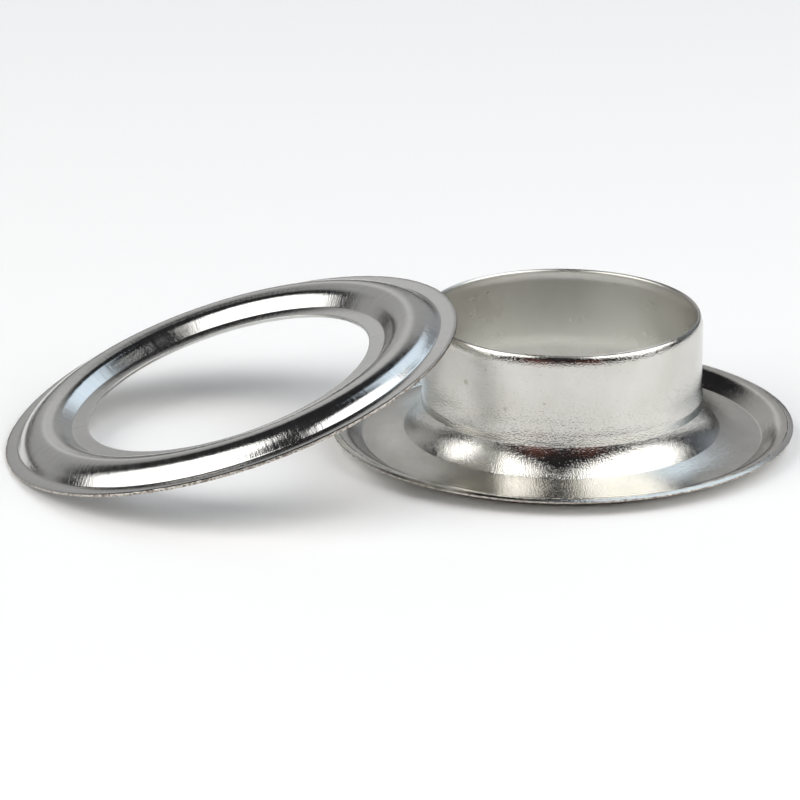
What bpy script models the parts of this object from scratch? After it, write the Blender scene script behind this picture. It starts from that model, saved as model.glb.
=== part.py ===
"""Two-piece sheet-metal grommet: an eyelet standing on its show face, and the
washer of the pair leaning on the eyelet's lip with its low edge on the table.

Metres, +Z up. The origin is the middle of the pair's box, on the table. The X
axis runs through both centres, with the eyelet towards +X.
"""

import math

import bpy
import numpy as np

# Sheet and mesh
SHEET = 0.0003               # thickness of the plated steel strip
SCREW_STEPS = 80             # facets round each turned piece, a multiple of four
BEND_STEP = math.radians(18)  # largest turn between two points of a bend
SEAM_MERGE = 0.00001         # merge distance where the turned sheet meets itself
MOST_BENT = 0.98             # most of a straight stretch that its bends may take

# Eyelet, drawn from one blank: barrel, base fillet, bead and brim
BORE = 0.0254                # inside diameter of the barrel
EYELET_HEIGHT = 0.01225      # table to the top of the lip
LIP_BEND = 0.0019            # outside radius of the turned-in lip
LIP_TURN = math.radians(38)  # how far the lip turns in from the vertical
LIP_END = 0.00005            # straight end of the sheet past the lip's bend
FLARE_TURN = math.radians(30)  # how far the barrel opens out before its base fillet
FLARE_HEIGHT = 0.00244       # where it starts to open, above the bead's floor
FLARE_BEND = 0.0046          # radius of that first easy bend
BASE_FILLET = 0.00275        # radius of the tighter bend into the bead's floor
FLANGE_DIAMETER = 0.0432
FLANGE_BEAD_DEPTH = 0.00122  # how far the bead stands below the brim
FLANGE_WALL_START = 0.663    # foot of the bead's outer slope, as a share of the flange
FLANGE_BRIM_START = 0.802    # inner edge of the flat brim, as a share of the flange
FLANGE_FOOT_BEND = 0.0004    # bend at the foot of that slope
FLANGE_BRIM_BEND = 0.0006    # bend at the top of that slope

# Washer, stamped from one blank: inner lip, raised bead and brim
# The washer's stations are shares of its ring's width, from the hole to the rim.
WASHER_REACH = 0.00025       # how far its rim stands past the eyelet's flange
HOLE_CLEARANCE = 0.0006      # between its hole and the barrel, all round
WASHER_LIP_END = 0.185       # outer edge of the flat inner lip
WASHER_CREASE = 0.336        # top of the slope up from the inner lip
WASHER_CREST = 0.537         # where the bead's dome starts to fall
WASHER_SHOULDER = 0.712      # where the dome's fall gets steep
WASHER_BRIM_START = 0.827    # foot of the steep slope down to the flat brim
WASHER_LIP_RISE = 0.0001     # inner lip above the brim
WASHER_CREASE_RISE = 0.00112  # top of the inner slope above the brim
WASHER_CREST_RISE = 0.00144  # corner at the dome's top above the brim
WASHER_SHOULDER_RISE = 0.0009  # corner where the fall gets steep above the brim
WASHER_LIP_BEND = 0.0002
WASHER_CREASE_BEND = 0.0018
WASHER_CREST_BEND = 0.00275
WASHER_SHOULDER_BEND = 0.00285
WASHER_BRIM_BEND = 0.0003

# How the washer leans
LEAN_OVERLAP = 0.0028        # reach of its high edge past the barrel's outside
SEAT_GAP = 0.0003            # clearance between the lip and the washer above it
STEEPEST_LEAN = math.radians(60)
LEAN_HALVINGS = 40           # halvings of the search for the leaning angle
QUARTER_TURN_STEPS = 90      # places round the lip where the gap is measured

# Colours of the bright nickel plating, as linear RGB
EYELET_COLOUR = (0.66, 0.64, 0.60, 1.0)
WASHER_COLOUR = (0.64, 0.64, 0.63, 1.0)
PLATING_ROUGHNESS = 0.16

BARREL_RADIUS = BORE / 2 + SHEET
FLANGE_RADIUS = FLANGE_DIAMETER / 2
HOLE_RADIUS = BARREL_RADIUS + HOLE_CLEARANCE
WASHER_RADIUS = FLANGE_RADIUS + WASHER_REACH


def clear_scene():
    for item in list(bpy.data.objects):
        bpy.data.objects.remove(item, do_unlink=True)


def bend_points(corner, direction_in, direction_out, turn, tangent):
    """Arc that rounds one corner, from a tangent's length before it to one after."""
    radius = tangent / math.tan(turn / 2)
    middle = direction_out - direction_in
    middle = middle / np.linalg.norm(middle)
    centre = corner + middle * radius / math.cos(turn / 2)
    first = corner - direction_in * tangent - centre
    last = corner + direction_out * tangent - centre
    pieces = max(2, math.ceil(turn / BEND_STEP))
    points = []
    for index in range(pieces + 1):
        share = index / pieces
        weight_first = math.sin((1 - share) * turn) / math.sin(turn)
        weight_last = math.sin(share * turn) / math.sin(turn)
        points.append(tuple(centre + weight_first * first + weight_last * last))
    return points


def bent_outline(corners):
    """Outline of (radius from the axis, height) points with its corners bent.

    Each corner is (radius from the axis, height, bend radius), listed from the
    middle of the piece outwards.
    """
    places = np.array([corner[:2] for corner in corners])
    runs = np.diff(places, axis=0)
    lengths = np.linalg.norm(runs, axis=1)
    directions = runs / lengths[:, None]
    turns = np.zeros(len(corners))
    turns[1:-1] = np.arccos((directions[:-1] * directions[1:]).sum(axis=1))
    tangents = np.array([corner[2] for corner in corners]) * np.tan(turns / 2)
    # where a straight stretch is too short for its bends, they get tighter
    crowding = (tangents[:-1] + tangents[1:]) / (MOST_BENT * lengths)
    crowding = np.maximum(crowding, 1.0)
    tangents[1:-1] /= np.maximum(crowding[:-1], crowding[1:])
    outline = [tuple(places[0])]
    for index in range(1, len(corners) - 1):
        outline.extend(bend_points(places[index], directions[index - 1],
                                   directions[index], turns[index], tangents[index]))
    outline.append(tuple(places[-1]))
    return outline


def eyelet_outline():
    """Fabric side of the eyelet, from the lip down the barrel to the rim."""
    lip_reach = LIP_BEND * math.tan(LIP_TURN / 2) + LIP_END
    lip_corner_height = EYELET_HEIGHT - lip_reach * math.cos(LIP_TURN)
    fillet_radius = BARREL_RADIUS + FLARE_HEIGHT * math.tan(FLARE_TURN)
    flange_width = FLANGE_RADIUS - BARREL_RADIUS
    foot_radius = BARREL_RADIUS + FLANGE_WALL_START * flange_width
    brim_radius = BARREL_RADIUS + FLANGE_BRIM_START * flange_width
    brim_height = FLANGE_BEAD_DEPTH + SHEET
    return bent_outline([
        (BARREL_RADIUS - lip_reach * math.sin(LIP_TURN), EYELET_HEIGHT, 0.0),
        (BARREL_RADIUS, lip_corner_height, LIP_BEND),
        (BARREL_RADIUS, SHEET + FLARE_HEIGHT, FLARE_BEND),
        (fillet_radius, SHEET, BASE_FILLET),
        (foot_radius, SHEET, FLANGE_FOOT_BEND),
        (brim_radius, brim_height, FLANGE_BRIM_BEND),
        (FLANGE_RADIUS, brim_height, 0.0),
    ])


def washer_outline():
    """Show side of the washer, from the hole to the rim, brim underside at 0."""
    ring_width = WASHER_RADIUS - HOLE_RADIUS
    lip_radius = HOLE_RADIUS + WASHER_LIP_END * ring_width
    crease_radius = HOLE_RADIUS + WASHER_CREASE * ring_width
    crest_radius = HOLE_RADIUS + WASHER_CREST * ring_width
    shoulder_radius = HOLE_RADIUS + WASHER_SHOULDER * ring_width
    foot_radius = HOLE_RADIUS + WASHER_BRIM_START * ring_width
    lip_height = SHEET + WASHER_LIP_RISE
    return bent_outline([
        (HOLE_RADIUS, lip_height, 0.0),
        (lip_radius, lip_height, WASHER_LIP_BEND),
        (crease_radius, SHEET + WASHER_CREASE_RISE, WASHER_CREASE_BEND),
        (crest_radius, SHEET + WASHER_CREST_RISE, WASHER_CREST_BEND),
        (shoulder_radius, SHEET + WASHER_SHOULDER_RISE, WASHER_SHOULDER_BEND),
        (foot_radius, SHEET, WASHER_BRIM_BEND),
        (WASHER_RADIUS, SHEET, 0.0),
    ])


def distance_to_outline(points, outline):
    """Shortest distance from each point to an outline, negative above it."""
    outline = np.array(outline)
    starts = outline[:-1]
    runs = outline[1:] - starts
    offsets = points[:, None, :] - starts[None]
    shares = (offsets * runs).sum(axis=2) / (runs ** 2).sum(axis=1)
    nearest = starts + np.clip(shares, 0.0, 1.0)[..., None] * runs
    distance = np.linalg.norm(points[:, None, :] - nearest, axis=2).min(axis=1)
    surface_height = np.interp(points[:, 0], outline[:, 0], outline[:, 1])
    return np.where(points[:, 1] > surface_height, -distance, distance)


def washer_centre(lean):
    """Distance from the eyelet's axis and height of the leaning brim's centre."""
    high_edge = BARREL_RADIUS - LEAN_OVERLAP
    return high_edge + WASHER_RADIUS * math.cos(lean), WASHER_RADIUS * math.sin(lean)


def gap_over_lip(lean):
    """Clearance between the eyelet's lip and the underside of the washer."""
    lip = [point for point in eyelet_outline() if point[1] > EYELET_HEIGHT - LIP_BEND]
    radii, heights = np.array(lip).T
    angles = np.linspace(0.0, math.pi / 2, QUARTER_TURN_STEPS)
    along = np.outer(np.cos(angles), radii)
    across = np.outer(np.sin(angles), radii)
    centre_along, centre_height = washer_centre(lean)
    # the washer's own axes: up its slope, and square to its brim
    towards = centre_along - along
    rise = heights[None, :] - centre_height
    up_slope = towards * math.cos(lean) + rise * math.sin(lean)
    square = rise * math.cos(lean) - towards * math.sin(lean)
    reach = np.hypot(up_slope, across)
    under = (reach > HOLE_RADIUS) & (reach < WASHER_RADIUS)
    points = np.stack([reach[under], square[under]], axis=1)
    return distance_to_outline(points, washer_outline()).min() - SHEET


def lean_angle():
    """Slope at which the washer rests on the lip with the seat gap to spare."""
    low = 0.0
    high = STEEPEST_LEAN
    for _ in range(LEAN_HALVINGS):
        middle = (low + high) / 2
        if gap_over_lip(middle) < SEAT_GAP:
            low = middle
        else:
            high = middle
    return high


def plating(name, colour):
    material = bpy.data.materials.new(name)
    material.use_nodes = True
    shader = material.node_tree.nodes["Principled BSDF"]
    shader.inputs["Base Color"].default_value = colour
    shader.inputs["Metallic"].default_value = 1.0
    shader.inputs["Roughness"].default_value = PLATING_ROUGHNESS
    material.diffuse_color = colour
    return material


def pressed_sheet(name, outline, material, collection, parent):
    """One piece of sheet: its outline turned about Z, then given its thickness."""
    mesh = bpy.data.meshes.new(name)
    vertices = [(radius, 0.0, height) for radius, height in outline]
    edges = [(index, index + 1) for index in range(len(outline) - 1)]
    mesh.from_pydata(vertices, edges, [])
    piece = bpy.data.objects.new(name, mesh)
    collection.objects.link(piece)
    piece.parent = parent
    mesh.materials.append(material)

    turn = piece.modifiers.new("turned", "SCREW")
    turn.axis = "Z"
    turn.angle = math.tau
    turn.steps = SCREW_STEPS
    turn.render_steps = SCREW_STEPS
    turn.use_merge_vertices = True
    turn.merge_threshold = SEAM_MERGE
    turn.use_smooth_shade = True

    sheet = piece.modifiers.new("sheet", "SOLIDIFY")
    sheet.thickness = SHEET
    sheet.offset = -1.0
    sheet.use_even_offset = True
    sheet.use_quality_normals = True
    return piece


def build():
    clear_scene()
    collection = bpy.data.collections.new("grommet_eyelet")
    bpy.context.scene.collection.children.link(collection)

    lean = lean_angle()
    washer_away, washer_height = washer_centre(lean)
    low_edge = washer_away + WASHER_RADIUS * math.cos(lean) + SHEET * math.sin(lean)

    pair = bpy.data.objects.new("pair", None)
    collection.objects.link(pair)
    pair.location.x = (low_edge - FLANGE_RADIUS) / 2

    eyelet_plating = plating("bright_nickel_plating_eyelet", EYELET_COLOUR)
    pressed_sheet("eyelet", eyelet_outline(), eyelet_plating, collection, pair)

    washer_plating = plating("bright_nickel_plating_washer", WASHER_COLOUR)
    washer = pressed_sheet("washer", washer_outline(), washer_plating, collection, pair)
    washer.location = (-washer_away, 0.0, washer_height)
    washer.rotation_euler = (0.0, -lean, 0.0)


build()
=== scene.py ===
import math

import bpy
import numpy as np
from mathutils import Matrix, Vector


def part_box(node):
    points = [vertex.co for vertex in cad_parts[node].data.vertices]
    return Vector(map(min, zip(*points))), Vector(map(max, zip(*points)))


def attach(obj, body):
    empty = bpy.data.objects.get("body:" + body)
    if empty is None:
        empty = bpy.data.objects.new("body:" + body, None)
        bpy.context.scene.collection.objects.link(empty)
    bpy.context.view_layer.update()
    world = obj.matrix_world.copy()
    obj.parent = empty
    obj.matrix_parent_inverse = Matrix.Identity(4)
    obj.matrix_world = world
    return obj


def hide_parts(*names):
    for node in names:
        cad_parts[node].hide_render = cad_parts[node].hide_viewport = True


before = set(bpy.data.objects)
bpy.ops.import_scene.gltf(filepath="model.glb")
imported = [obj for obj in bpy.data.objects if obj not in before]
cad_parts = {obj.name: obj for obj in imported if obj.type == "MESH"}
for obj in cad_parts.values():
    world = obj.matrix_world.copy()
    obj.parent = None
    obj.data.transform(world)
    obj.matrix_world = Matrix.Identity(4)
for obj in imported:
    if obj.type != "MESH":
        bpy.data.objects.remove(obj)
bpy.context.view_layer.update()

# Eyelet: the half of the grommet that is pushed through the cloth. It is drawn
# in steps from one disc of 0.3 mm steel strip, so the barrel, the fillet at its
# foot, the bead and the flat brim are one sheet, bright nickel plated at the end.

SHEET = 0.0003
eyelet_low, eyelet_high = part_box("eyelet")
FLANGE_RADIUS = (eyelet_high[1] - eyelet_low[1]) / 2
EYELET_HEIGHT = eyelet_high[2]
eyelet_axis_x = (eyelet_low[0] + eyelet_high[0]) / 2
BARREL_RADIUS = 0.0130
BRIM_HEIGHT = 0.00152

# Corners of the sheet's outer face from lip to rim: radius, height, bend radius.
# The drawing tools left two marks on it, a shallow step low on the barrel and a
# line round the lower edge of the fillet.

LIP_MOUTH = (0.01264, EYELET_HEIGHT, 0.0)
LIP_TURN = (0.01285, EYELET_HEIGHT - 0.00028, 0.0014)
LIP_FOOT = (BARREL_RADIUS, EYELET_HEIGHT - 0.00092, 0.0028)
FLARE_START = (BARREL_RADIUS, 0.00515, 0.0075)
STEP_TOP = (0.013127, 0.00435, 0.0012)
STEP_FOOT = (0.013154, 0.00358, 0.0005)
FILLET = (0.013556, 0.001967, 0.00405)
FILLET_LINE = (0.014730, 0.001050, 0.0003)
SOLE = (0.01675, SHEET, 0.0096)
BEAD_FOOT = (0.01862, SHEET, 0.00035)
BEAD_SHOULDER = (0.02035, BRIM_HEIGHT, 0.0020)
FLANGE_RIM = (FLANGE_RADIUS, BRIM_HEIGHT, 0.0)

ARC_STEP = math.radians(4)
FEWEST_ARC_STEPS = 3
HOLDING_EDGE = 0.00012
ROOM_FOR_HOLDING = 2.5 * HOLDING_EDGE


def bent_section(corners):
    """Points along sheet bent at its corners, and the outward normals there.

    Beside each bend, where the flat stretch has room, a holding point keeps it flat.
    """
    places = np.array([corner[:2] for corner in corners])
    runs = np.diff(places, axis=0)
    lengths = np.linalg.norm(runs, axis=1)
    directions = runs / lengths[:, None]
    normals = np.stack([-directions[:, 1], directions[:, 0]], axis=1)
    turns = np.zeros(len(corners))
    turns[1:-1] = np.arccos((directions[:-1] * directions[1:]).sum(axis=1))
    tangents = np.array([corner[2] for corner in corners]) * np.tan(turns / 2)
    roomy = lengths - tangents[:-1] - tangents[1:] > ROOM_FOR_HOLDING
    points = [places[0]]
    square = [normals[0]]
    for index in range(1, len(corners) - 1):
        before, after = directions[index - 1], directions[index]
        turn = math.atan2(before[0] * after[1] - before[1] * after[0], before @ after)
        bend = corners[index][2]
        start = places[index] - before * tangents[index]
        side = math.copysign(1.0, turn)
        first = normals[index - 1]
        centre = start + side * bend * first
        if roomy[index - 1]:
            points.append(start - before * HOLDING_EDGE)
            square.append(first)
        steps = max(FEWEST_ARC_STEPS, math.ceil(abs(turn) / ARC_STEP))
        for step in range(steps + 1):
            angle = turn * step / steps
            cosine, sine = math.cos(angle), math.sin(angle)
            normal = np.array([first[0] * cosine - first[1] * sine,
                               first[0] * sine + first[1] * cosine])
            points.append(centre - side * bend * normal)
            square.append(normal)
        if roomy[index]:
            points.append(places[index] + after * (tangents[index] + HOLDING_EDGE))
            square.append(normals[index])
    points.append(places[-1])
    square.append(normals[-1])
    return np.array(points), np.array(square)


EDGE_ROUND = 0.00005
EDGE_QUARTER = np.radians([0.0, 30.0, 60.0, 90.0])
ROLLED_STEPS = 9
ROLLED_CURVE = 1.3


def cut_sheet(points, square, rolled_width, rolled_depth):
    """Closed section of sheet with its ends cut, and which points are the rim's edge.

    The shears pull the outer face over at the rim, by the depth across the width.
    """
    back = points - SHEET * square
    outward = (points[-1] - points[-2]) / np.linalg.norm(points[-1] - points[-2])
    inward = (points[0] - points[1]) / np.linalg.norm(points[0] - points[1])

    def cut_edge(face, other, away):
        across = (other - face) / np.linalg.norm(other - face)
        edge = []
        for angle in EDGE_QUARTER:
            edge.append(face - away * EDGE_ROUND * (1 - math.sin(angle))
                        + across * EDGE_ROUND * (1 - math.cos(angle)))
        for angle in EDGE_QUARTER:
            edge.append(other - away * EDGE_ROUND * (1 - math.cos(angle))
                        - across * EDGE_ROUND * (1 - math.sin(angle)))
        return edge

    pulled = []
    for share in np.linspace(0.0, 1.0, ROLLED_STEPS + 1)[:-1]:
        pulled.append(points[-1] - outward * (rolled_width * (1 - share) + EDGE_ROUND)
                      - square[-1] * rolled_depth * share ** ROLLED_CURVE)
    held_start = points[0] - inward * (EDGE_ROUND + HOLDING_EDGE)
    held_back = back[-1] - outward * (EDGE_ROUND + HOLDING_EDGE)
    front = [held_start] + list(points[1:-1]) + pulled
    rear = [held_back] + list(back[1:-1][::-1]) + [held_start - SHEET * square[0]]
    rim = cut_edge(points[-1] - square[-1] * rolled_depth, back[-1], outward)
    mouth = cut_edge(back[0], points[0], inward)
    section = np.array(front + rim + rear + mouth)
    on_rim = np.zeros(len(section), dtype=bool)
    on_rim[len(front):len(front) + len(rim)] = True
    return section, on_rim


# The shears tear the rim by up to 0.03 mm, in waves as fine as 110 to a turn.

TURNS = 480
FINEST_TEAR = 110
DEEPEST_TEAR = 2.0
RAGGEDNESS = 0.000015


def turned_mesh(name, section, on_rim, seed):
    """Mesh of a closed section turned about Z, its rim torn by the shears.

    The rim's cut edge takes the piece's second material.
    """
    angles = np.linspace(0.0, math.tau, TURNS, endpoint=False)
    radii = np.broadcast_to(section[:, 0], (TURNS, len(section))).copy()
    heights = np.broadcast_to(section[:, 1], (TURNS, len(section)))
    chance = np.random.default_rng(seed)
    waves = np.fft.rfftfreq(TURNS, 1 / TURNS)
    noise = np.fft.rfft(chance.normal(size=TURNS)) * np.exp(-(waves / FINEST_TEAR) ** 2)
    tear = np.fft.irfft(noise, TURNS)
    tear = np.clip(np.abs(tear) / tear.std(), 0, DEEPEST_TEAR) * RAGGEDNESS
    radii[:, on_rim] -= tear[:, None]
    vertices = np.stack([np.cos(angles)[:, None] * radii,
                         np.sin(angles)[:, None] * radii, heights], axis=2)
    here = np.arange(TURNS)[:, None] * len(section)
    there = np.roll(here, -1, axis=0)
    index = np.arange(len(section))[None, :]
    following = np.roll(index, -1, axis=1)
    quads = np.stack([here + index, there + index,
                      there + following, here + following], axis=2)
    mesh = bpy.data.meshes.new(name)
    mesh.from_pydata(vertices.reshape(-1, 3).tolist(), [], quads.reshape(-1, 4).tolist())
    mesh.polygons.foreach_set("use_smooth", [True] * len(mesh.polygons))
    cut = on_rim & np.roll(on_rim, -1)
    mesh.polygons.foreach_set("material_index", np.tile(cut, TURNS).astype(int).tolist())
    mesh.update()
    return mesh


EYELET_ROLLED_WIDTH = 0.00045
EYELET_ROLLED_DEPTH = 0.00013
EYELET_TEAR_SEED = 5
eyelet_face, eyelet_square = bent_section([
    LIP_MOUTH, LIP_TURN, LIP_FOOT, FLARE_START, STEP_TOP, STEP_FOOT, FILLET,
    FILLET_LINE, SOLE, BEAD_FOOT, BEAD_SHOULDER, FLANGE_RIM])
eyelet_section, eyelet_rim = cut_sheet(eyelet_face, eyelet_square,
                                       EYELET_ROLLED_WIDTH, EYELET_ROLLED_DEPTH)
eyelet_mesh = turned_mesh("eyelet_visual", eyelet_section, eyelet_rim, EYELET_TEAR_SEED)
eyelet_mesh.transform(Matrix.Translation((eyelet_axis_x, 0.0, 0.0)))


def colour(hex_code):
    """Linear RGBA of an sRGB hex colour."""
    channels = [int(hex_code[place:place + 2], 16) / 255 for place in (0, 2, 4)]
    return [value / 12.92 if value <= 0.04045 else ((value + 0.055) / 1.055) ** 2.4
            for value in channels] + [1.0]


def add_node(material, kind, settings, links):
    """Add a node; a setting or link is named by its property or input."""
    node = material.node_tree.nodes.new(kind)
    for name, value in settings.items():
        if isinstance(name, str) and hasattr(node, name):
            setattr(node, name, value)
        else:
            node.inputs[name].default_value = value
    for name, socket in links.items():
        material.node_tree.links.new(socket, node.inputs[name])
    return node


# Bright nickel over drawn steel. The plating itself is a mirror, a little warm.
# The draw has pulled the steel under it into an orange peel of about 0.15 mm, at
# its real size here, so the edge of every reflection breaks up into grains. A
# finer grain rides on it, about as fine as the render can show. Both fade on the
# brim, which was hardly drawn.

PEEL_GRAIN = 0.00014
PEEL_DEPTH = 0.000024
FINE_GRAIN = 0.00009
FINE_DEPTH = 0.000009
PEEL_FADE_START = 0.0165
PEEL_FADE_END = 0.0205
BRIM_PEEL_SHARE = 0.45
drawn_nickel = bpy.data.materials.new("bright_nickel_on_drawn_steel")
drawn_nickel.use_nodes = True
drawn_links = drawn_nickel.node_tree.links
shader = drawn_nickel.node_tree.nodes["Principled BSDF"]
shader.inputs["Metallic"].default_value = 1.0
position = add_node(drawn_nickel, "ShaderNodeTexCoord", {}, {}).outputs["Object"]
from_axis = add_node(drawn_nickel, "ShaderNodeVectorMath",
                     {"operation": "SUBTRACT", 1: (eyelet_axis_x, 0.0, 0.0)},
                     {0: position})
level = add_node(drawn_nickel, "ShaderNodeVectorMath",
                 {"operation": "MULTIPLY", 1: (1.0, 1.0, 0.0)},
                 {0: from_axis.outputs["Vector"]})
radius = add_node(drawn_nickel, "ShaderNodeVectorMath", {"operation": "LENGTH"},
                  {0: level.outputs["Vector"]}).outputs["Value"]
height = add_node(drawn_nickel, "ShaderNodeSeparateXYZ", {}, {0: position}).outputs["Z"]
peel = add_node(drawn_nickel, "ShaderNodeTexNoise",
                {"Scale": 1 / PEEL_GRAIN, "Detail": 1.0, "Roughness": 0.5},
                {"Vector": position})
fine = add_node(drawn_nickel, "ShaderNodeTexNoise",
                {"Scale": 1 / FINE_GRAIN, "Detail": 0.0}, {"Vector": position})
drawn_share = add_node(drawn_nickel, "ShaderNodeMapRange",
                       {"interpolation_type": "SMOOTHSTEP",
                        "From Min": PEEL_FADE_START, "From Max": PEEL_FADE_END,
                        "To Min": 1.0, "To Max": BRIM_PEEL_SHARE}, {"Value": radius})

# The punch ironed the wall of the bore, which has next to no peel. It came out
# duller. Its colour is painted paler towards the bottom, as painted light for the
# lit table that the lower bore reflects. The bore's finish ends inside the sheet's
# thickness, and on the turn of the lip.

BORE_FACE = BARREL_RADIUS - 0.9 * SHEET
OUTER_FACE = BARREL_RADIUS - 0.6 * SHEET
BORE_PEEL_SHARE = 0.05
BORE_ROUGHNESS = 0.28
OUTER_ROUGHNESS = 0.08
BORE_LIGHT_START = 0.0115
BORE_LIGHT_FULL = 0.0045
outside = add_node(drawn_nickel, "ShaderNodeMapRange",
                   {"From Min": BORE_FACE, "From Max": OUTER_FACE,
                    "To Min": BORE_PEEL_SHARE, "To Max": 1.0}, {"Value": radius})
peel_share = add_node(drawn_nickel, "ShaderNodeMath", {"operation": "MULTIPLY"},
                      {0: drawn_share.outputs["Result"], 1: outside.outputs["Result"]})
peel_height = add_node(drawn_nickel, "ShaderNodeMath", {"operation": "MULTIPLY"},
                       {0: peel.outputs["Fac"], 1: peel_share.outputs["Value"]})
fine_height = add_node(drawn_nickel, "ShaderNodeMath", {"operation": "MULTIPLY"},
                       {0: fine.outputs["Fac"], 1: peel_share.outputs["Value"]})
peel_bump = add_node(drawn_nickel, "ShaderNodeBump",
                     {"Strength": 1.0, "Distance": PEEL_DEPTH},
                     {"Height": peel_height.outputs["Value"]})
fine_bump = add_node(drawn_nickel, "ShaderNodeBump",
                     {"Strength": 1.0, "Distance": FINE_DEPTH},
                     {"Height": fine_height.outputs["Value"],
                      "Normal": peel_bump.outputs["Normal"]})
drawn_links.new(fine_bump.outputs["Normal"], shader.inputs["Normal"])
wall_roughness = add_node(drawn_nickel, "ShaderNodeMapRange",
                          {"From Min": BORE_FACE, "From Max": OUTER_FACE,
                           "To Min": BORE_ROUGHNESS, "To Max": OUTER_ROUGHNESS},
                          {"Value": radius})

# Handling has left clouds of a few millimetres in the shine and in the tone.

CLOUD_SIZE = 0.004
CLOUD_LEAST_ROUGHNESS = -0.03
CLOUD_MOST_ROUGHNESS = 0.05
NOISE_LOW = 0.3
NOISE_HIGH = 0.7
TONE_LOW = 0.35
TONE_HIGH = 0.65
HANDLED_NICKEL = "CFCDC6"
CLEAN_NICKEL = "D8D6D1"
# The next colour is painted light: the paler bottom of the bore.
PAINTED_BORE_LIGHT = "E4E4DB"
clouds = add_node(drawn_nickel, "ShaderNodeTexNoise",
                  {"Scale": 1 / CLOUD_SIZE, "Detail": 3.0, "Roughness": 0.6},
                  {"Vector": position})
cloud_roughness = add_node(drawn_nickel, "ShaderNodeMapRange",
                           {"From Min": NOISE_LOW, "From Max": NOISE_HIGH,
                            "To Min": CLOUD_LEAST_ROUGHNESS,
                            "To Max": CLOUD_MOST_ROUGHNESS},
                           {"Value": clouds.outputs["Fac"]})
roughness = add_node(drawn_nickel, "ShaderNodeMath", {"operation": "ADD"},
                     {0: wall_roughness.outputs["Result"],
                      1: cloud_roughness.outputs["Result"]})
drawn_links.new(roughness.outputs["Value"], shader.inputs["Roughness"])
tone = add_node(drawn_nickel, "ShaderNodeValToRGB", {}, {"Fac": clouds.outputs["Fac"]})
tone.color_ramp.elements[0].position = TONE_LOW
tone.color_ramp.elements[0].color = colour(HANDLED_NICKEL)
tone.color_ramp.elements[1].position = TONE_HIGH
tone.color_ramp.elements[1].color = colour(CLEAN_NICKEL)
# Painted light: the bore's colour turns paler from the top down, standing in for the lit
# table that the lower bore reflects.
deep_in_bore = add_node(drawn_nickel, "ShaderNodeMapRange",
                        {"From Min": BORE_LIGHT_START, "From Max": BORE_LIGHT_FULL},
                        {"Value": height})
inside = add_node(drawn_nickel, "ShaderNodeMapRange",
                  {"From Min": BORE_FACE, "From Max": OUTER_FACE,
                   "To Min": 1.0, "To Max": 0.0}, {"Value": radius})
painted_bore_light_share = add_node(drawn_nickel, "ShaderNodeMath", {"operation": "MULTIPLY"},
                   {0: deep_in_bore.outputs["Result"], 1: inside.outputs["Result"]})
painted_bore_light_mix = add_node(drawn_nickel, "ShaderNodeMix",
                     {"data_type": "RGBA", "B": colour(PAINTED_BORE_LIGHT)}, {})
drawn_links.new(painted_bore_light_share.outputs["Value"], painted_bore_light_mix.inputs["Factor"])
drawn_links.new(tone.outputs["Color"], painted_bore_light_mix.inputs["A"])
plating_colour = painted_bore_light_mix.outputs["Result"]

# The plating has four pits on the near side of the barrel. They are finer than the
# render shows, so only the pale brown stain of each is drawn: place and radius.

PITS = [
    ((0.004812, -0.007818, 0.008519), 0.00036),
    ((0.007946, -0.010789, 0.006784), 0.00026),
    ((0.011268, -0.012392, 0.007664), 0.00017),
    ((0.006300, -0.009520, 0.010200), 0.00015),
]
PIT_CORE = 0.4
STAIN_STRENGTH = 0.4
STAIN_BROWN = "8C7F63"
for pit_place, pit_size in PITS:
    to_pit = add_node(drawn_nickel, "ShaderNodeVectorMath",
                      {"operation": "DISTANCE", 1: pit_place}, {0: position})
    pit_share = add_node(drawn_nickel, "ShaderNodeMapRange",
                         {"interpolation_type": "SMOOTHSTEP",
                          "From Min": PIT_CORE * pit_size, "From Max": pit_size,
                          "To Min": STAIN_STRENGTH, "To Max": 0.0},
                         {"Value": to_pit.outputs["Value"]})
    stained = add_node(drawn_nickel, "ShaderNodeMix",
                       {"data_type": "RGBA", "B": colour(STAIN_BROWN)}, {})
    drawn_links.new(pit_share.outputs["Result"], stained.inputs["Factor"])
    drawn_links.new(plating_colour, stained.inputs["A"])
    plating_colour = stained.outputs["Result"]
drawn_links.new(plating_colour, shader.inputs["Base Color"])

# Thin nickel over sheared steel, on the cut edge of both rims. The die leaves the
# edge part burnished and part torn, and the plating there is thin, so brown steel
# shows in streaks of about 0.3 mm.

TEAR_GRAIN = 0.00028
TEAR_DEPTH = 0.00006
TORN_BELOW = 0.4
BURNISHED_FROM = 0.6
TORN_ROUGHNESS = 0.45
BURNISHED_ROUGHNESS = 0.2
STEEL_BELOW = 0.40
NICKEL_FROM = 0.56
BROWN_STEEL = "857B73"
THIN_NICKEL = "CDC8C0"
sheared_edge = bpy.data.materials.new("thin_nickel_on_sheared_steel")
sheared_edge.use_nodes = True
edge_links = sheared_edge.node_tree.links
shader = sheared_edge.node_tree.nodes["Principled BSDF"]
shader.inputs["Metallic"].default_value = 1.0
position = add_node(sheared_edge, "ShaderNodeTexCoord", {}, {}).outputs["Object"]
tears = add_node(sheared_edge, "ShaderNodeTexNoise",
                 {"Scale": 1 / TEAR_GRAIN, "Detail": 2.0, "Roughness": 0.7},
                 {"Vector": position})
stain = add_node(sheared_edge, "ShaderNodeValToRGB", {}, {"Fac": tears.outputs["Fac"]})
stain.color_ramp.elements[0].position = STEEL_BELOW
stain.color_ramp.elements[0].color = colour(BROWN_STEEL)
stain.color_ramp.elements[1].position = NICKEL_FROM
stain.color_ramp.elements[1].color = colour(THIN_NICKEL)
edge_links.new(stain.outputs["Color"], shader.inputs["Base Color"])
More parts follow.
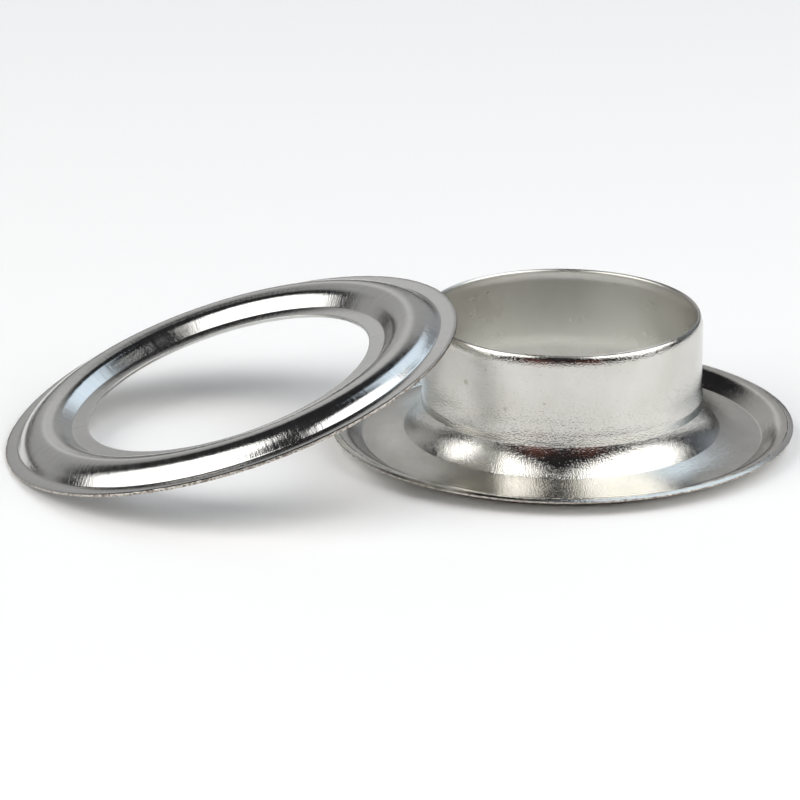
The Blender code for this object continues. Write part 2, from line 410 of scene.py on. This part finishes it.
tear_roughness = add_node(sheared_edge, "ShaderNodeMapRange",
                          {"From Min": TORN_BELOW, "From Max": BURNISHED_FROM,
                           "To Min": TORN_ROUGHNESS, "To Max": BURNISHED_ROUGHNESS},
                          {"Value": tears.outputs["Fac"]})
edge_links.new(tear_roughness.outputs["Result"], shader.inputs["Roughness"])
tear_bump = add_node(sheared_edge, "ShaderNodeBump",
                     {"Strength": 1.0, "Distance": TEAR_DEPTH},
                     {"Height": tears.outputs["Fac"]})
edge_links.new(tear_bump.outputs["Normal"], shader.inputs["Normal"])

eyelet_piece = bpy.data.objects.new("eyelet_drawn_sheet", eyelet_mesh)
bpy.context.scene.collection.objects.link(eyelet_piece)
eyelet_mesh.materials.append(drawn_nickel)
eyelet_mesh.materials.append(sheared_edge)
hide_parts("eyelet")
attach(eyelet_piece, "root")

# Washer: the other half, which goes over the barrel from the cloth's back. It is
# stamped from the same strip with a raised bead, and it lies here as it fell, its
# low edge on the table and its high side on the eyelet's lip.

washer_low, washer_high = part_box("washer")
WASHER_RADIUS = (washer_high[1] - washer_low[1]) / 2
washer_length = washer_high[0] - washer_low[0]

# The washer's box is as long as its diameter and its sheet's thickness together,
# each seen at the lean. The lean that gives that length is found in a few rounds.

SOLVING_ROUNDS = 20
lean = math.asin((washer_high[2] - washer_low[2]) / (2 * WASHER_RADIUS))
for _ in range(SOLVING_ROUNDS):
    lean = math.acos((washer_length - SHEET * math.sin(lean)) / (2 * WASHER_RADIUS))
washer_centre = Vector((washer_high[0] - WASHER_RADIUS * math.cos(lean), 0.0,
                        washer_low[2] + WASHER_RADIUS * math.sin(lean)))

# Corners of the sheet's upper face from hole to rim, as on the eyelet.

INNER_LIP_HEIGHT = 0.0004
HOLE_EDGE = (0.0136, INNER_LIP_HEIGHT, 0.0)
INNER_LIP_END = (0.01513, INNER_LIP_HEIGHT, 0.0002)
INNER_SHOULDER = (0.01637, 0.00142, 0.0018)
BEAD_CREST = (0.01806, 0.00174, 0.00275)
OUTER_SHOULDER = (0.01956, 0.00121, 0.00285)
WASHER_BRIM_START = (0.02044, SHEET, 0.00030)
WASHER_RIM = (WASHER_RADIUS, SHEET, 0.0)
WASHER_ROLLED_WIDTH = 0.00025
WASHER_ROLLED_DEPTH = 0.00005
WASHER_TEAR_SEED = 6
washer_face, washer_square = bent_section([
    HOLE_EDGE, INNER_LIP_END, INNER_SHOULDER, BEAD_CREST, OUTER_SHOULDER,
    WASHER_BRIM_START, WASHER_RIM])
washer_section, washer_rim = cut_sheet(washer_face, washer_square,
                                       WASHER_ROLLED_WIDTH, WASHER_ROLLED_DEPTH)
washer_mesh = turned_mesh("washer_visual", washer_section, washer_rim, WASHER_TEAR_SEED)

# The rim was trimmed 0.19 mm off the centre of the bead and the hole, which
# leaves the brim narrower on the low side.

OFF_CENTRE = 0.00019
BRIM_INNER = 0.0208
for vertex in washer_mesh.vertices:
    from_centre = math.hypot(vertex.co.x, vertex.co.y)
    out_on_brim = (from_centre - BRIM_INNER) / (WASHER_RADIUS - BRIM_INNER)
    vertex.co.x -= OFF_CENTRE * (1 - min(max(out_on_brim, 0.0), 1.0))
washer_place = Matrix.Translation(washer_centre) @ Matrix.Rotation(-lean, 4, "Y")
washer_mesh.transform(washer_place)

# Bright nickel over stamped steel. The strip was drawn less here, so the peel
# is faint, and the metal's flow over the bead leaves fine radial lines instead,
# 0.3 mm apart and a few millimetres long.

LINE_WIDTH = 0.00030
LINE_LENGTH = 0.0035
LINE_DEPTH = 0.000014
FAINT_PEEL_DEPTH = 0.000009
LEAST_ROUGHNESS = 0.09
MOST_ROUGHNESS = 0.18
LINE_NICKEL = "CDCDCB"
PLAIN_NICKEL = "D6D5D2"
stamped_nickel = bpy.data.materials.new("bright_nickel_on_stamped_steel")
stamped_nickel.use_nodes = True
stamped_links = stamped_nickel.node_tree.links
shader = stamped_nickel.node_tree.nodes["Principled BSDF"]
shader.inputs["Metallic"].default_value = 1.0
position = add_node(stamped_nickel, "ShaderNodeTexCoord", {}, {}).outputs["Object"]
flat_place = add_node(stamped_nickel, "ShaderNodeMapping",
                      {"vector_type": "TEXTURE", "Location": washer_centre,
                       "Rotation": (0.0, -lean, 0.0)},
                      {"Vector": position}).outputs["Vector"]
level = add_node(stamped_nickel, "ShaderNodeVectorMath",
                 {"operation": "MULTIPLY", 1: (1.0, 1.0, 0.0)}, {0: flat_place})
radius = add_node(stamped_nickel, "ShaderNodeVectorMath", {"operation": "LENGTH"},
                  {0: level.outputs["Vector"]}).outputs["Value"]
outward = add_node(stamped_nickel, "ShaderNodeVectorMath", {"operation": "NORMALIZE"},
                   {0: level.outputs["Vector"]})
around = add_node(stamped_nickel, "ShaderNodeVectorMath",
                  {"operation": "SCALE", "Scale": WASHER_RADIUS / LINE_WIDTH},
                  {0: outward.outputs["Vector"]})
along = add_node(stamped_nickel, "ShaderNodeMath",
                 {"operation": "MULTIPLY", 1: 1 / LINE_LENGTH}, {0: radius})
lift = add_node(stamped_nickel, "ShaderNodeCombineXYZ", {}, {"Z": along.outputs["Value"]})
line_place = add_node(stamped_nickel, "ShaderNodeVectorMath", {"operation": "ADD"},
                      {0: around.outputs["Vector"], 1: lift.outputs["Vector"]})
draw_lines = add_node(stamped_nickel, "ShaderNodeTexNoise",
                      {"Scale": 1.0, "Detail": 3.0, "Roughness": 0.7},
                      {"Vector": line_place.outputs["Vector"]})
faint_peel = add_node(stamped_nickel, "ShaderNodeTexNoise",
                      {"Scale": 1 / PEEL_GRAIN, "Detail": 1.0, "Roughness": 0.6},
                      {"Vector": position})
line_bump = add_node(stamped_nickel, "ShaderNodeBump",
                     {"Strength": 1.0, "Distance": LINE_DEPTH},
                     {"Height": draw_lines.outputs["Fac"]})
peel_bump = add_node(stamped_nickel, "ShaderNodeBump",
                     {"Strength": 1.0, "Distance": FAINT_PEEL_DEPTH},
                     {"Height": faint_peel.outputs["Fac"],
                      "Normal": line_bump.outputs["Normal"]})
stamped_links.new(peel_bump.outputs["Normal"], shader.inputs["Normal"])
line_roughness = add_node(stamped_nickel, "ShaderNodeMapRange",
                          {"From Min": NOISE_LOW, "From Max": NOISE_HIGH,
                           "To Min": LEAST_ROUGHNESS, "To Max": MOST_ROUGHNESS},
                          {"Value": draw_lines.outputs["Fac"]})
stamped_links.new(line_roughness.outputs["Result"], shader.inputs["Roughness"])
tone = add_node(stamped_nickel, "ShaderNodeValToRGB", {},
                {"Fac": draw_lines.outputs["Fac"]})
tone.color_ramp.elements[0].position = TONE_LOW
tone.color_ramp.elements[0].color = colour(LINE_NICKEL)
tone.color_ramp.elements[1].position = TONE_HIGH
tone.color_ramp.elements[1].color = colour(PLAIN_NICKEL)
stamped_links.new(tone.outputs["Color"], shader.inputs["Base Color"])

washer_piece = bpy.data.objects.new("washer_stamped_sheet", washer_mesh)
bpy.context.scene.collection.objects.link(washer_piece)
washer_mesh.materials.append(stamped_nickel)
washer_mesh.materials.append(sheared_edge)
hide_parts("washer")
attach(washer_piece, "root")

# Table: a white laminate board, larger than the camera sees. Its face is matt, so
# it takes the soft shadow of the grommet and hardly any reflection. It lies a hair
# under the grommet, so the two don't share a plane.

TABLE_HALF = 3.0
TABLE_DROP = 0.00002
TABLE_ROUGHNESS = 0.6
TABLE_WHITE = "FBFBFB"
table_mesh = bpy.data.meshes.new("table")
table_mesh.from_pydata([(-TABLE_HALF, -TABLE_HALF, 0), (TABLE_HALF, -TABLE_HALF, 0),
                        (TABLE_HALF, TABLE_HALF, 0), (-TABLE_HALF, TABLE_HALF, 0)],
                       [], [(0, 1, 2, 3)])
table = bpy.data.objects.new("table", table_mesh)
table.location.z = -TABLE_DROP
bpy.context.scene.collection.objects.link(table)
white_board = bpy.data.materials.new("white_laminate_board")
white_board.use_nodes = True
shader = white_board.node_tree.nodes["Principled BSDF"]
shader.inputs["Base Color"].default_value = colour(TABLE_WHITE)
shader.inputs["Roughness"].default_value = TABLE_ROUGHNESS
table_mesh.materials.append(white_board)

# Camera: a long lens about 0.6 m away and 19.5 degrees above the table, a little
# to the washer's side of square. Angles are in radians and the rest in metres. It
# is placed by the middle of the brim's underside, which it sees right of centre.

CAMERA_TURN = 0.1536
CAMERA_PITCH = 0.3401
CAMERA_ROLL = 0.0040
CAMERA_DEPTH = 0.5832
AIM_ACROSS = 0.015096
AIM_DOWN = 0.002162
LENS = 281.1
aim_mark = Vector((eyelet_axis_x, 0.0, BRIM_HEIGHT - SHEET))
right = Vector((math.cos(CAMERA_TURN), -math.sin(CAMERA_TURN), 0.0))
forward = Vector((math.sin(CAMERA_TURN) * math.cos(CAMERA_PITCH),
                  math.cos(CAMERA_TURN) * math.cos(CAMERA_PITCH),
                  -math.sin(CAMERA_PITCH)))
up = right.cross(forward)
rolled_right = right * math.cos(CAMERA_ROLL) + up * math.sin(CAMERA_ROLL)
rolled_up = up * math.cos(CAMERA_ROLL) - right * math.sin(CAMERA_ROLL)
camera_place = (aim_mark - rolled_right * AIM_ACROSS + rolled_up * AIM_DOWN
                - forward * CAMERA_DEPTH)
camera_data = bpy.data.cameras.new("camera")
camera_data.sensor_width = 36.0
camera_data.lens = LENS
camera_data.clip_start = 0.01
camera = bpy.data.objects.new("camera", camera_data)
bpy.context.scene.collection.objects.link(camera)
turned = Matrix((rolled_right, rolled_up, -forward)).transposed().to_4x4()
camera.matrix_world = Matrix.Translation(camera_place) @ turned
bpy.context.scene.camera = camera

# Studio: a dim room with a large round softbox on either side, a wide sheet of
# grey paper hung behind, a window above it on the right and two brown cabinets on
# the camera's side. Directions are seen from the grommet, in degrees: azimuth 0
# is the camera's side and 90 is to its right.

ROOM_GREY = "272729"
world = bpy.data.worlds.new("dim_room")
world.use_nodes = True
world.node_tree.nodes["Background"].inputs["Color"].default_value = colour(ROOM_GREY)
bpy.context.scene.world = world
level_forward = Vector((math.sin(CAMERA_TURN), math.cos(CAMERA_TURN), 0.0))


def studio_place(azimuth, elevation, distance):
    """Place in a direction from the grommet, at a distance in metres."""
    turn, rise = math.radians(azimuth), math.radians(elevation)
    level = right * math.sin(turn) - level_forward * math.cos(turn)
    return (level * math.cos(rise) + Vector((0.0, 0.0, math.sin(rise)))) * distance


def softbox(name, place, width, height, radiance, tint):
    """Round soft lamp that faces the grommet.

    Its power is its radiance times pi times its area.
    """
    light = bpy.data.lights.new(name, "AREA")
    light.shape = "ELLIPSE"
    light.size = width
    light.size_y = height
    light.energy = radiance * math.pi * math.pi * width * height / 4
    light.color = colour(tint)[:3]
    lamp = bpy.data.objects.new(name, light)
    lamp.location = place
    lamp.rotation_euler = (-place).to_track_quat("-Z", "Y").to_euler()
    lamp.visible_camera = False
    bpy.context.scene.collection.objects.link(lamp)


softbox("softbox_right", studio_place(azimuth=73, elevation=45.5, distance=0.7),
        width=0.86, height=0.98, radiance=2.33, tint="FFFFFF")
softbox("softbox_left", studio_place(azimuth=-73, elevation=43.5, distance=0.7),
        width=0.79, height=0.93, radiance=2.38, tint="FFFEFC")


def card(name, place, facing, width, height, brightness, tints):
    """Lit board centred on a place, its face turned along a direction.

    The tints are colours at shares of its width; one tint is plain.
    """
    mesh = bpy.data.meshes.new(name)
    corners = [(-1, -1), (1, -1), (1, 1), (-1, 1)]
    mesh.from_pydata([(x * width / 2, y * height / 2, 0.0) for x, y in corners],
                     [], [(0, 1, 2, 3)])
    glow = bpy.data.materials.new(name)
    glow.use_nodes = True
    shader = glow.node_tree.nodes["Principled BSDF"]
    shader.inputs["Base Color"].default_value = colour("000000")
    shader.inputs["Specular IOR Level"].default_value = 0.0
    shader.inputs["Emission Strength"].default_value = brightness
    if len(tints) == 1:
        shader.inputs["Emission Color"].default_value = colour(tints[0][1])
    else:
        place_on_card = add_node(glow, "ShaderNodeTexCoord", {}, {})
        across = add_node(glow, "ShaderNodeSeparateXYZ", {},
                          {0: place_on_card.outputs["Generated"]})
        fade = add_node(glow, "ShaderNodeValToRGB", {}, {"Fac": across.outputs["X"]})
        for share, tint in tints[1:-1]:
            fade.color_ramp.elements.new(share)
        for element, (share, tint) in zip(fade.color_ramp.elements, tints):
            element.position = share
            element.color = colour(tint)
        glow.node_tree.links.new(fade.outputs["Color"], shader.inputs["Emission Color"])
    mesh.materials.append(glow)
    board = bpy.data.objects.new(name, mesh)
    board.location = place
    board.rotation_euler = facing.to_track_quat("Z", "Y").to_euler()
    board.visible_camera = False
    bpy.context.scene.collection.objects.link(board)


# The paper's light falls off to both sides of a bright patch behind the washer,
# and turns blue towards the window. Places across it are in metres to the right
# of the middle of the view.

PAPER_DISTANCE = 1.2
PAPER_TOP = 0.972
PAPER_LEFT = -2.8
PAPER_RIGHT = 3.2
PAPER_WIDTH = PAPER_RIGHT - PAPER_LEFT
PAPER_LIGHT = [
    (PAPER_LEFT, "A6A6A6"),
    (-0.60, "ADADAD"),
    (-0.37, "B3B3B3"),
    (-0.27, "DADADA"),
    (-0.19, "CBCBCB"),
    (-0.06, "ADADAD"),
    (0.35, "A4A5A8"),
    (0.8, "9097A0"),
    (1.6, "696E76"),
    (PAPER_RIGHT, "555961"),
]
paper_place = (level_forward * PAPER_DISTANCE + right * (PAPER_LEFT + PAPER_RIGHT) / 2
               + Vector((0.0, 0.0, PAPER_TOP / 2)))
card("grey_paper", paper_place, -level_forward, PAPER_WIDTH, PAPER_TOP, brightness=1.0,
     tints=[((across - PAPER_LEFT) / PAPER_WIDTH, tint) for across, tint in PAPER_LIGHT])

# Under the paper there is a dark gap, made by a low dark card that stands nearer
# than the paper. It gives the metal the dark line under its paler reflection.

GAP_DISTANCE = 0.34
GAP_WIDTH = 1.6
GAP_HEIGHT = 0.052
gap_place = level_forward * GAP_DISTANCE + Vector((0.0, 0.0, GAP_HEIGHT / 2))
card("dark_gap_under_the_paper", gap_place, -level_forward, GAP_WIDTH, GAP_HEIGHT,
     brightness=1.0, tints=[(0.0, "45423F")])

window_place = studio_place(azimuth=149, elevation=51, distance=1.0)
card("window", window_place, -window_place, width=0.44, height=0.55, brightness=1.36,
     tints=[(0.0, "E1F1FF")])

CABINET_HEIGHT = 0.36
for name, azimuth, width in (("cabinet_left", -21, 0.27), ("cabinet_right", 21, 0.20)):
    door_place = studio_place(azimuth, elevation=9, distance=0.9)
    card(name, door_place, -door_place, width, CABINET_HEIGHT, brightness=1.0,
         tints=[(0.0, "7C524B")])

bpy.context.scene.view_settings.view_transform = "Standard"
